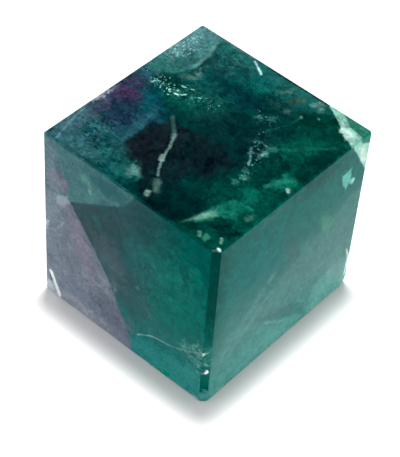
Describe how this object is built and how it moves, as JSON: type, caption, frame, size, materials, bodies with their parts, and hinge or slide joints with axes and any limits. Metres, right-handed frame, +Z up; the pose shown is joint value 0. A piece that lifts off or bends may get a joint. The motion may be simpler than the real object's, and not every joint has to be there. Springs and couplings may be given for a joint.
{
  "type": "fluorite cube",
  "caption": "Polished natural mineral specimen: a cube of deep green and purple see-through fluorite that rests on a flat face, with narrow ground bevels and a few chipped edges",
  "frame": {"origin": "the middle of the base, on the surface the cube rests on", "axes": "+Z up; +Y along the slightly longer horizontal side; the near upright edge with the wide flat is at +X -Y"},
  "size_m": [0.049, 0.0508, 0.0499],
  "materials": {
    "fluorite": "polished see-through fluorite, dark emerald green with teal, grey and purple zones, milky veils and frosted cracks inside, refractive index 1.434"
  },
  "bodies": {
    "root": {"fluorite_cube": "fluorite"}
  },
  "joints": []
}
